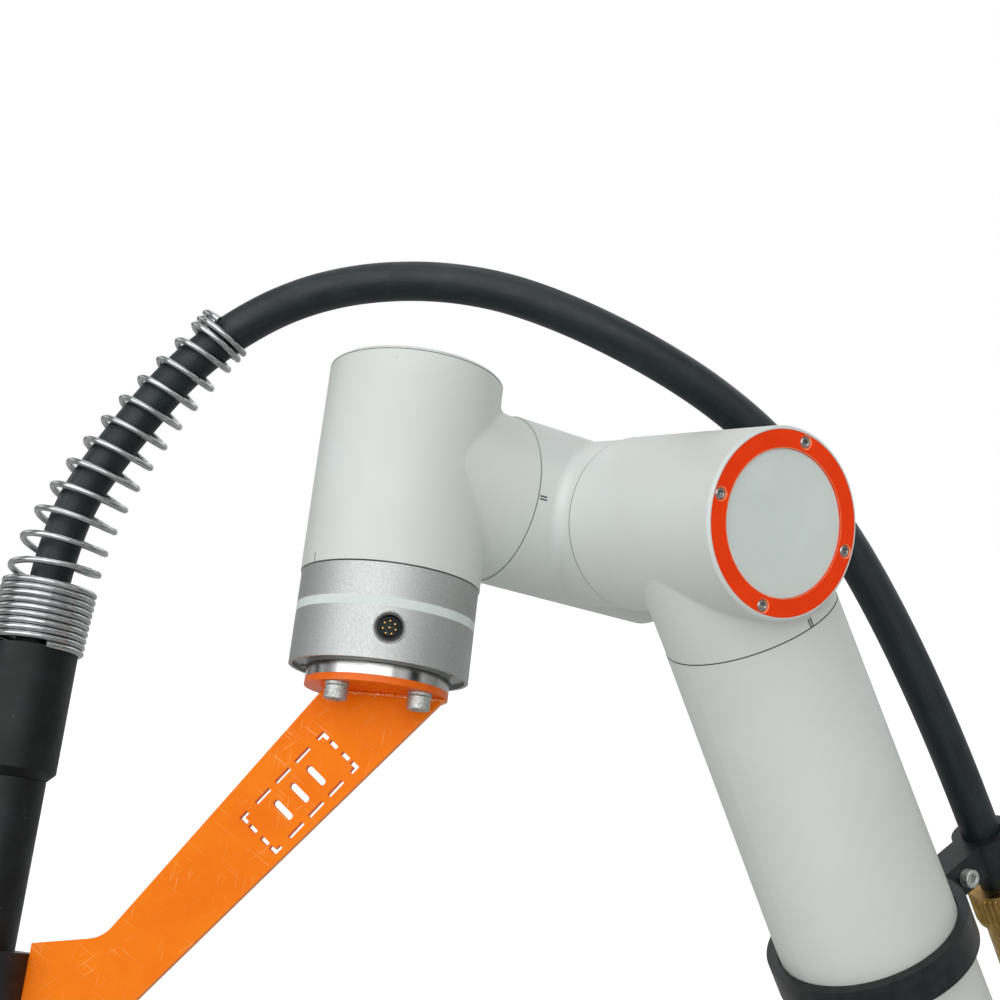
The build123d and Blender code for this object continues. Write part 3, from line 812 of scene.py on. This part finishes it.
def repeated(mesh, tree, placement, inputs):
    """Plain mesh of the copies that a tree makes of a mesh, moved to a placement."""
    holder = bpy.data.objects.new("copies", mesh)
    bpy.context.scene.collection.objects.link(holder)
    modifier = holder.modifiers.new("copies", "NODES")
    modifier.node_group = tree
    for item in tree.interface.items_tree:
        if item.in_out == "INPUT" and item.name in inputs:
            modifier[item.identifier] = inputs[item.name]
    depsgraph = bpy.context.evaluated_depsgraph_get()
    made = bpy.data.meshes.new_from_object(holder.evaluated_get(depsgraph))
    bpy.data.objects.remove(holder)
    made.transform(placement)
    if not made.materials:
        made.materials.append(inputs["Finish"])
    return made


def round_copies(mesh, placement, finish, count, radius, height=0.0, first_angle=0.0,
                 random_turn=0.0, seed=1):
    """Copies on a circle about the placement's Z."""
    return repeated(mesh, copies_on_a_circle, placement, {
        "Count": count, "Circle Radius": radius, "First Angle": math.radians(first_angle),
        "Height": height, "Random Turn": random_turn, "Seed": seed, "Finish": finish})


def row_copies(mesh, placement, finish, count, start, step, unevenness=0.0,
               random_turn=(0, 0, 0), seed=1):
    """Copies in a row on a placement."""
    return repeated(mesh, copies_in_a_row, placement, {
        "Count": count, "Start": start, "Step": step, "Unevenness": unevenness,
        "Random Turn": random_turn, "Seed": seed, "Finish": finish})


# Fasteners. A screw head is its radius, its height, half its socket's width across flats and the
# socket's depth. A washer is its radius and its hole's. A nut is half its width across flats, its
# hole's radius and its height.
CAP_HEAD = (2.45 * MM, 2.2 * MM, 1.25 * MM, 1.3 * MM)
M2_HEAD = (1.7 * MM, 1.1 * MM, 0.75 * MM, 0.8 * MM)
M5_HEAD = (4.25 * MM, 5 * MM, 2 * MM, 2.5 * MM)
M6_HEAD = (5 * MM, 6 * MM, 2.5 * MM, 3 * MM)
M8_HEAD = (6.5 * MM, 8 * MM, 3 * MM, 4 * MM)
M6_WASHER = (5.3 * MM, 3.2 * MM)
M8_WASHER = (7 * MM, 4.2 * MM)
M5_NUT = (4 * MM, 2.4 * MM, 4 * MM)
WASHER_THICKNESS = 1.6 * MM
HEAD_EDGE = 0.4 * MM
SMALL_HEAD_EDGE = 0.25 * MM
WASHER_EDGE = 0.2 * MM
NUT_EDGE = 0.5 * MM
NUT_BEVEL_SHARE = 0.95
SOCKET_MOUTH_SHARE = 1.35
SOCKET_BEVEL_SHARE = 1.2
SCREW_TURN = 1.0


def socket_screw(head, edge=HEAD_EDGE):
    """Head of a hexagon socket screw, its seat at height 0."""
    radius, height, socket, depth = head
    return stacked_rings([
        (radius - edge, 0), (radius, edge), (radius, height - edge), (radius - edge, height),
        (SOCKET_MOUTH_SHARE * socket, height), (SOCKET_BEVEL_SHARE * socket, height - 0.3 * edge),
        (socket, height - edge, True), (socket, height - depth, True)])


def washer(radius, hole):
    """Flat washer with its lower face at height 0."""
    edge = WASHER_EDGE
    return stacked_rings([(hole, 0), (radius - edge, 0), (radius, edge),
                          (radius, WASHER_THICKNESS - edge), (radius - edge, WASHER_THICKNESS),
                          (hole, WASHER_THICKNESS)], loop=True)


def hexagon_nut(half_width, hole, height):
    """Hexagon nut with chamfered corners."""
    bevel = NUT_BEVEL_SHARE * half_width
    return stacked_rings([(hole, 0), (bevel, 0), (half_width, NUT_EDGE, True),
                          (half_width, height - NUT_EDGE, True), (bevel, height), (hole, height)],
                         loop=True)


# Screws in the joint caps, with pale orange painted highlights on the edges of their pockets and of the orange
# ring
CAP_SCREW_COUNT = 4
CAP_SCREW_ANGLE = 45
CAP_SCREW_SEAT = 2.4 * MM
POCKET_RADIUS = 3.1 * MM
POCKET_BEVEL = 0.6 * MM
POCKET_LIP = 0.02 * MM
CAP_FIT = 0.1 * MM
CAP_RING_INNER_SHARE = 0.8
CAP_EDGE_HIGHLIGHT_WIDTH = 0.35 * MM
WRIST_CAP_CIRCLE = 35.2 * MM
JOINT_CAP_CIRCLE = 52.2 * MM


def cap_screws(cap, centre, barrel, branch, reach, circle, body, seed):
    """Four socket screws sunk in a cap's ring, and pale orange painted highlights on the edges of the ring and
    their pockets.
    """
    face = plane(centre, branch, barrel)
    screws = round_copies(socket_screw(CAP_HEAD), face, bright_steel, CAP_SCREW_COUNT, circle,
                          reach - CAP_SCREW_SEAT, CAP_SCREW_ANGLE, SCREW_TURN, seed)
    piece(f"{cap}_screws", screws, body)
    # The pocket bevels and a thin ring at the orange ring's inner edge take the pale orange painted highlight
    bevel = stacked_rings([(POCKET_RADIUS - POCKET_BEVEL, -POCKET_BEVEL),
                           (POCKET_RADIUS, -1.5 * POCKET_BEVEL), (POCKET_RADIUS, -POCKET_LIP)],
                          loop=True)
    pockets = round_copies(bevel, face, cap_edge_highlight, CAP_SCREW_COUNT, circle, reach, CAP_SCREW_ANGLE)
    inner = (circle + POCKET_RADIUS + 2 * CAP_FIT) * CAP_RING_INNER_SHARE - CAP_FIT
    outer = inner + CAP_EDGE_HIGHLIGHT_WIDTH
    rim = stacked_rings([(inner, reach - POCKET_LIP), (outer, reach - POCKET_LIP),
                         (outer, reach + POCKET_LIP), (inner, reach + POCKET_LIP)],
                        sides=128, loop=True)
    rim.transform(face)
    piece(f"{cap}_edges", join([pockets, rim]), body, cap_edge_highlight)


cap_screws("shoulder_cap", shoulder, -side, -up, JOINT_CAP_REACH, JOINT_CAP_CIRCLE, "root", 1)
cap_screws("elbow_cap", elbow, side, -lean(UPPER_ARM_LEAN), JOINT_CAP_REACH, JOINT_CAP_CIRCLE,
           "root", 2)
cap_screws("wrist_1_cap", wrist_1, -side, -forearm, WRIST_CAP_REACH, WRIST_CAP_CIRCLE, "root", 3)
cap_screws("wrist_2_cap", wrist_2, -wrist_2_axis, -side, WRIST_CAP_REACH, WRIST_CAP_CIRCLE,
           "wrist_2", 4)

# Screws through the bracket's disc into the tool flange, with their washers
TOOL_SCREW_COUNT = 4
TOOL_SCREW_CIRCLE = 25 * MM
TOOL_SCREW_ANGLE = -22.5
piece("tool_screw_washers",
      round_copies(washer(*M6_WASHER), flange_plane, zinc, TOOL_SCREW_COUNT, TOOL_SCREW_CIRCLE,
                   bracket_underside, TOOL_SCREW_ANGLE), "tool")
piece("tool_screws",
      round_copies(socket_screw(M6_HEAD), flange_plane, zinc, TOOL_SCREW_COUNT, TOOL_SCREW_CIRCLE,
                   bracket_underside + WASHER_THICKNESS, TOOL_SCREW_ANGLE, SCREW_TURN, 5),
      "tool")

# Small screws in the recess under the flange's lower ring
RING_SCREW_COUNT = 8
RING_SCREW_CIRCLE = 34.7 * MM
RING_RECESS = 2 * MM
piece("flange_ring_screws",
      round_copies(socket_screw(M2_HEAD, SMALL_HEAD_EDGE), flange_plane, bright_steel,
                   RING_SCREW_COUNT, RING_SCREW_CIRCLE, FLANGE_RING_END - RING_RECESS, 0, SCREW_TURN,
                   6), "tool")

# Screws that hold the base down
BASE_SCREW_COUNT = 4
BASE_SCREW_CIRCLE = 66 * MM
BASE_SCREW_ANGLE = 45
BASE_FLANGE_TOP = 10 * MM
base_plane = Matrix.Identity(4)
piece("base_screw_washers",
      round_copies(washer(*M8_WASHER), base_plane, zinc, BASE_SCREW_COUNT, BASE_SCREW_CIRCLE,
                   BASE_FLANGE_TOP, BASE_SCREW_ANGLE), "root")
piece("base_screws",
      round_copies(socket_screw(M8_HEAD), base_plane, zinc, BASE_SCREW_COUNT, BASE_SCREW_CIRCLE,
                   BASE_FLANGE_TOP + WASHER_THICKNESS, BASE_SCREW_ANGLE, SCREW_TURN, 7),
      "root")

# Connector in the flange: its contact pins, the insulator that holds them and the lip of its shell
CONNECTOR_HEIGHT = 79.5 * MM
CONNECTOR_ANGLE = -67.5
CONNECTOR_MOUTH = 39.5 * MM
CONNECTOR_FACE = CONNECTOR_MOUTH - 2.5 * MM
CORE_RADIUS = 3.7 * MM
CORE_HEIGHT = 0.8 * MM
CORE_BEVEL = 0.2 * MM
PIN_PROFILE = [(0.5, 0), (0.5, 1.0), (0.36, 1.3), (0.14, 1.4)]
OUTER_PINS = 7
PIN_CIRCLE = 2.8 * MM
PIN_FIRST_ANGLE = 25
LIP_INNER = 6.3 * MM
LIP_OUTER = 6.75 * MM
LIP_HEIGHT = 0.3 * MM
connector_out = turned(flange_x, tool_axis, CONNECTOR_ANGLE)
connector_plane = plane(wrist_3 + tool_axis * CONNECTOR_HEIGHT, tool_axis, connector_out)
pin_foot = CONNECTOR_FACE + CORE_HEIGHT


def contact_pin():
    """Round-ended pin that stands on the insulator."""
    return stacked_rings([(radius * MM, pin_foot + rise * MM) for radius, rise in PIN_PROFILE],
                         sides=16)


middle_pin = contact_pin()
middle_pin.transform(connector_plane)
outer_pins = round_copies(contact_pin(), connector_plane, gold, OUTER_PINS, PIN_CIRCLE,
                          first_angle=PIN_FIRST_ANGLE)
piece("connector_pins", join([outer_pins, middle_pin]), "tool", gold)
core = stacked_rings([(CORE_RADIUS, CONNECTOR_FACE), (CORE_RADIUS, pin_foot - CORE_BEVEL),
                      (CORE_RADIUS - CORE_BEVEL, pin_foot)], sides=48)
core.transform(connector_plane)
piece("connector_core", core, "tool", black_plastic)
lip = stacked_rings([(LIP_INNER, CONNECTOR_MOUTH), (LIP_OUTER, CONNECTOR_MOUTH),
                     (LIP_OUTER, CONNECTOR_MOUTH + LIP_HEIGHT / 2),
                     ((LIP_INNER + LIP_OUTER) / 2, CONNECTOR_MOUTH + LIP_HEIGHT),
                     (LIP_INNER, CONNECTOR_MOUTH + LIP_HEIGHT / 2)], sides=64, loop=True)
lip.transform(connector_plane)
piece("connector_lip", lip, "tool", zinc)

# Screws and nuts that close the split clamp on the torch
CLAMP_SCREW_COUNT = 2
CLAMP_EAR_REACH = 30.5 * MM
CLAMP_EAR_HALF = 8.5 * MM
CLAMP_FIRST_SCREW = (132 * MM, 0, 0)
CLAMP_SCREW_STEP = (16 * MM, 0, 0)
clamp_place = torch_line + bracket_x * CLAMP_EAR_REACH
across = tool_axis.cross(bracket_x)
for name, outward, fastener in (("torch_clamp_screws", across, socket_screw(M5_HEAD)),
                                ("torch_clamp_nuts", -across, hexagon_nut(*M5_NUT))):
    ear = plane(clamp_place + outward * CLAMP_EAR_HALF, tool_axis, outward)
    piece(name, row_copies(fastener, ear, zinc, CLAMP_SCREW_COUNT, CLAMP_FIRST_SCREW,
                           CLAMP_SCREW_STEP), "tool")

# Screws in the sides of the hose clamp's arm
HOSE_CLAMP_PLACE = 206 * MM
HOSE_CLAMP_HALF_HEIGHT = 8 * MM
HOSE_CLAMP_ARM_HALF = 8 * MM
CLAMP_ARM_MIDDLE = 59 * MM
arm_middle = wrist_1 - forearm * (HOSE_CLAMP_PLACE + HOSE_CLAMP_HALF_HEIGHT)
arm_middle += behind * CLAMP_ARM_MIDDLE
for name, outward in (("hose_clamp_screw_left", side), ("hose_clamp_screw_right", -side)):
    screw = socket_screw(M5_HEAD)
    screw.transform(plane(arm_middle + outward * HOSE_CLAMP_ARM_HALF, behind, outward))
    piece(name, screw, "root", zinc)

# Knurl on the coupling's nut: ribs with pointed ends
KNURL_RADIUS = 15.4 * MM
KNURL_COUNT = 36
KNURL_MARGIN = 1.5 * MM
KNURL_TAPER = 0.7 * MM
RIB_RADIUS = 0.75 * MM
RIB_TIP = 0.1 * MM
COUPLING_NUT_LENGTH = 18 * MM
rib_end = COUPLING_NUT_LENGTH - KNURL_MARGIN
rib = stacked_rings([(RIB_TIP, KNURL_MARGIN), (RIB_RADIUS, KNURL_MARGIN + KNURL_TAPER),
                     (RIB_RADIUS, rib_end - KNURL_TAPER), (RIB_TIP, rib_end)], sides=8)
piece("coupling_knurl",
      round_copies(rib, plane(hose_stop, behind, -forearm), brass, KNURL_COUNT, KNURL_RADIUS),
      "root")

# Weld beads between the bracket's disc and its plate
WELD_FROM = -29 * MM
WELD_TO = 21.5 * MM
WELD_STEP = 1.3 * MM
WELD_DEPTH = 0.7 * MM
WELD_PROUD = 0.6 * MM
WELD_DROP_RADIUS = 1.3 * MM
WELD_WOBBLE = 0.08
WELD_FLATNESS = 0.8
WELD_UNEVENNESS = 0.14
WELD_TUMBLE = (0.5, 0.5, 3.0)
WELD_SEED = 11
PLATE_HALF = 2 * MM


def weld_drop():
    """One ripple of a weld bead: a flattened ball with an uneven skin."""
    ball = bmesh.new()
    bmesh.ops.create_icosphere(ball, subdivisions=2, radius=WELD_DROP_RADIUS)
    wobble = random.Random(4)
    for vertex in ball.verts:
        vertex.co *= 1 + WELD_WOBBLE * (wobble.random() - 0.5)
        vertex.co.z *= WELD_FLATNESS
    mesh = bpy.data.meshes.new("weld_drop")
    ball.to_mesh(mesh)
    ball.free()
    mesh.shade_smooth()
    return mesh


beads = []
for number, facing in enumerate((1, -1)):
    beads.append(row_copies(weld_drop(), bracket_plane, weld,
                            round((WELD_TO - WELD_FROM) / WELD_STEP) + 1,
                            (WELD_FROM, facing * (PLATE_HALF + WELD_PROUD), WELD_DEPTH),
                            (WELD_STEP, 0, 0), WELD_UNEVENNESS, WELD_TUMBLE, WELD_SEED + number))
piece("weld_beads", join(beads), "tool", weld)

# Painted shade in the seams: dark rings in the running seams, and thin dark lines where the forearm's tube and the
# lid meet castings
SEAM_SHADE_RADII = (38.3 * MM, 38.9 * MM)
FLUSH_SEAM_SHADE_RADII = (38.3 * MM, 39.9 * MM)
FOREARM_SEAM_RADII = (39 * MM, 39.4 * MM)
LID_SEAM_RADII = (39.6 * MM, 40.04 * MM)
SEAM_SHADE_HALF = 0.27 * MM
FOREARM_SEAM_HALF = 0.25 * MM
LID_SEAM_HALF = 0.15 * MM
LID_THICKNESS = 1.6 * MM


def shaded_seam_ring(name, centre, direction, distance, radii, half, body):
    """Thin dark ring round an axis at a distance along it: painted shade in a seam's gap."""
    inner, outer = radii
    ring = stacked_rings([(inner, distance - half), (outer, distance - half),
                          (outer, distance + half), (inner, distance + half)], sides=128, loop=True)
    ring.transform(plane(centre, direction.orthogonal().normalized(), direction))
    piece(name, ring, body, seam_shade)


shaded_seam_ring("wrist_1_seam_shade", wrist_1, side, WRIST_OUTPUT, FLUSH_SEAM_SHADE_RADII, SEAM_SHADE_HALF, "wrist_2")
shaded_seam_ring("wrist_2_seam_shade", wrist_2, wrist_2_axis, WRIST_OUTPUT, SEAM_SHADE_RADII, SEAM_SHADE_HALF, "wrist_3")
shaded_seam_ring("wrist_3_seam_shade", wrist_3, tool_axis, WRIST_OUTPUT, SEAM_SHADE_RADII, SEAM_SHADE_HALF, "tool")
shaded_seam_ring("forearm_seam_shade", wrist_1, -forearm, WRIST_BRANCH_REACH - FOREARM_SEAM_HALF,
          FOREARM_SEAM_RADII, FOREARM_SEAM_HALF, "root")
shaded_seam_ring("wrist_3_lid_seam_shade", wrist_3, -tool_axis, WRIST_CAP_REACH - LID_THICKNESS, LID_SEAM_RADII,
          LID_SEAM_HALF, "wrist_3")

# Alignment marks printed beside the seams
MARK_LIFT = 0.02 * MM
MARK_LENGTH = 3.8 * MM
MARK_TO_SEAM = 0.45 * MM
FOREARM_MARK_TO_SEAM = 0.55 * MM
MARK_WIDTH_DEGREES = 1.0
TICK_WIDTH_DEGREES = 0.55
TICK_ANGLE = -5
MARK_GAP_DEGREES = 1.9
INK_THICKNESS = 0.04 * MM
HOUSING_RADIUS = 40 * MM
BRANCH_RADIUS = 39.3 * MM


def marks(name, placement, radius, angle, count, width, end, body):
    """Short bars of ink on a cylinder about the placement's Z, at an angle from its X."""
    bars = []
    for number in range(count):
        middle = angle + (number - (count - 1) / 2) * MARK_GAP_DEGREES
        bars.append(bent_plate(placement, radius + MARK_LIFT, INK_THICKNESS,
                               (middle - width / 2, middle + width / 2), (end - MARK_LENGTH, end)))
    piece(name, join(bars), body, ink)


marks("wrist_2_marks", plane(wrist_2, side, wrist_2_axis), HOUSING_RADIUS, 180, 2,
      MARK_WIDTH_DEGREES, WRIST_OUTPUT - MARK_TO_SEAM, "wrist_2")
marks("wrist_3_mark", plane(wrist_3, wrist_2_axis, tool_axis), HOUSING_RADIUS, TICK_ANGLE, 1,
      TICK_WIDTH_DEGREES, WRIST_OUTPUT - MARK_TO_SEAM, "wrist_3")
marks("forearm_marks", plane(wrist_1, side, -forearm), BRANCH_RADIUS, 180, 2, MARK_WIDTH_DEGREES,
      WRIST_BRANCH_REACH - FOREARM_MARK_TO_SEAM, "root")

# Floor: it glows white to the camera alone, and keeps the arm's shadow
FLOOR_SIZE = 60.0
FLOOR_GLOW = 0.66


def pale_floor():
    """Matt white studio floor."""
    paint = Finish("studio_floor", "#CFCFCE", 0.8, specular=0.1)
    paint.drift("#D0D0CF", "#CECECD", 400 * MM)
    seen = node(paint.tree, "ShaderNodeLightPath").outputs["Is Camera Ray"]
    glow = node(paint.tree, "ShaderNodeMath", {0: seen, 1: FLOOR_GLOW}, operation="MULTIPLY")
    paint.tree.links.new(glow.outputs[0], paint.shader.inputs["Emission Strength"])
    paint.shader.inputs["Emission Color"].default_value = (1, 1, 1, 1)
    return paint.material


half = FLOOR_SIZE / 2
floor_mesh = bpy.data.meshes.new("floor")
floor_mesh.from_pydata([(-half, -half, 0), (half, -half, 0), (half, half, 0), (-half, half, 0)], [],
                       [(0, 1, 2, 3)])
floor_mesh.materials.append(pale_floor())
floor = bpy.data.objects.new("floor", floor_mesh)
bpy.context.scene.collection.objects.link(floor)

# Studio: white to the camera, an even soft fill on matt surfaces, and in metal a white room whose
# panels have darker gaps between them, round it and one above the other
ROOM_LEVEL = 0.7
GAP_LEVEL = 0.03
FILL_LEVEL = 0.32

world = bpy.data.worlds.new("studio")
world.use_nodes = True
sky = world.node_tree
sky.nodes.clear()
rays = node(sky, "ShaderNodeLightPath").outputs
heading = node(sky, "ShaderNodeSeparateXYZ",
               {0: node(sky, "ShaderNodeTexCoord").outputs["Generated"]}).outputs
azimuth = node(sky, "ShaderNodeMath", {0: heading["Y"], 1: heading["X"]}, operation="ARCTAN2").outputs[0]

# Each row of panels: what it goes by, its panels in a turn, where they start and their share
panel_rows = ((azimuth, 7, 0.4, 0.26), (azimuth, 12, 2.0, 0.16), (heading["Z"], 11, 1.6, 0.42))
panels = ROOM_LEVEL
for goes_by, count, start, share in panel_rows:
    turn = node(sky, "ShaderNodeMath", {0: goes_by, 1: count, 2: start}, operation="MULTIPLY_ADD")
    wave = node(sky, "ShaderNodeMath", {0: turn.outputs[0]}, operation="COSINE")
    panels = node(sky, "ShaderNodeMath", {0: wave.outputs[0], 1: share, 2: panels},
                  operation="MULTIPLY_ADD").outputs[0]
panels = node(sky, "ShaderNodeMath", {0: panels, 1: GAP_LEVEL}, operation="MAXIMUM").outputs[0]
mirrored = node(sky, "ShaderNodeMapRange", {"Value": rays["Is Glossy Ray"], "To Min": FILL_LEVEL,
                                            "To Max": panels}).outputs["Result"]
seen = node(sky, "ShaderNodeMath", {0: rays["Is Camera Ray"], 1: rays["Is Transmission Ray"]},
            operation="MAXIMUM").outputs[0]
level = node(sky, "ShaderNodeMapRange", {"Value": seen, "To Min": mirrored}).outputs["Result"]
glow = node(sky, "ShaderNodeBackground", {"Color": (1, 1, 1, 1), "Strength": level}).outputs[0]
node(sky, "ShaderNodeOutputWorld", {"Surface": glow})
bpy.context.scene.world = world

# Lamps: a soft key from beside the camera and above it, and a weak one from behind
KEY_LEVEL = 2.4
KEY_LEFT = 0.35
KEY_UP = 0.45
BACK_LEVEL = 0.5
BACK_RIGHT = 0.5
BACK_UP = 0.8
SUN_SOFTNESS = math.radians(90)


def sun(name, towards, level):
    """Distant soft lamp that shines from a direction."""
    data = bpy.data.lights.new(name, "SUN")
    data.energy = level
    data.angle = SUN_SOFTNESS
    lamp = bpy.data.objects.new(name, data)
    lamp.rotation_euler = (-towards).to_track_quat("-Z", "Y").to_euler()
    bpy.context.scene.collection.objects.link(lamp)


camera_left = -(aim @ Vector((1, 0, 0)))
sun("key_light", -VIEW_DIRECTION + KEY_LEFT * camera_left + KEY_UP * up, KEY_LEVEL)
sun("back_light", VIEW_DIRECTION - BACK_RIGHT * camera_left + BACK_UP * up, BACK_LEVEL)

bpy.context.scene.view_settings.view_transform = "Standard"
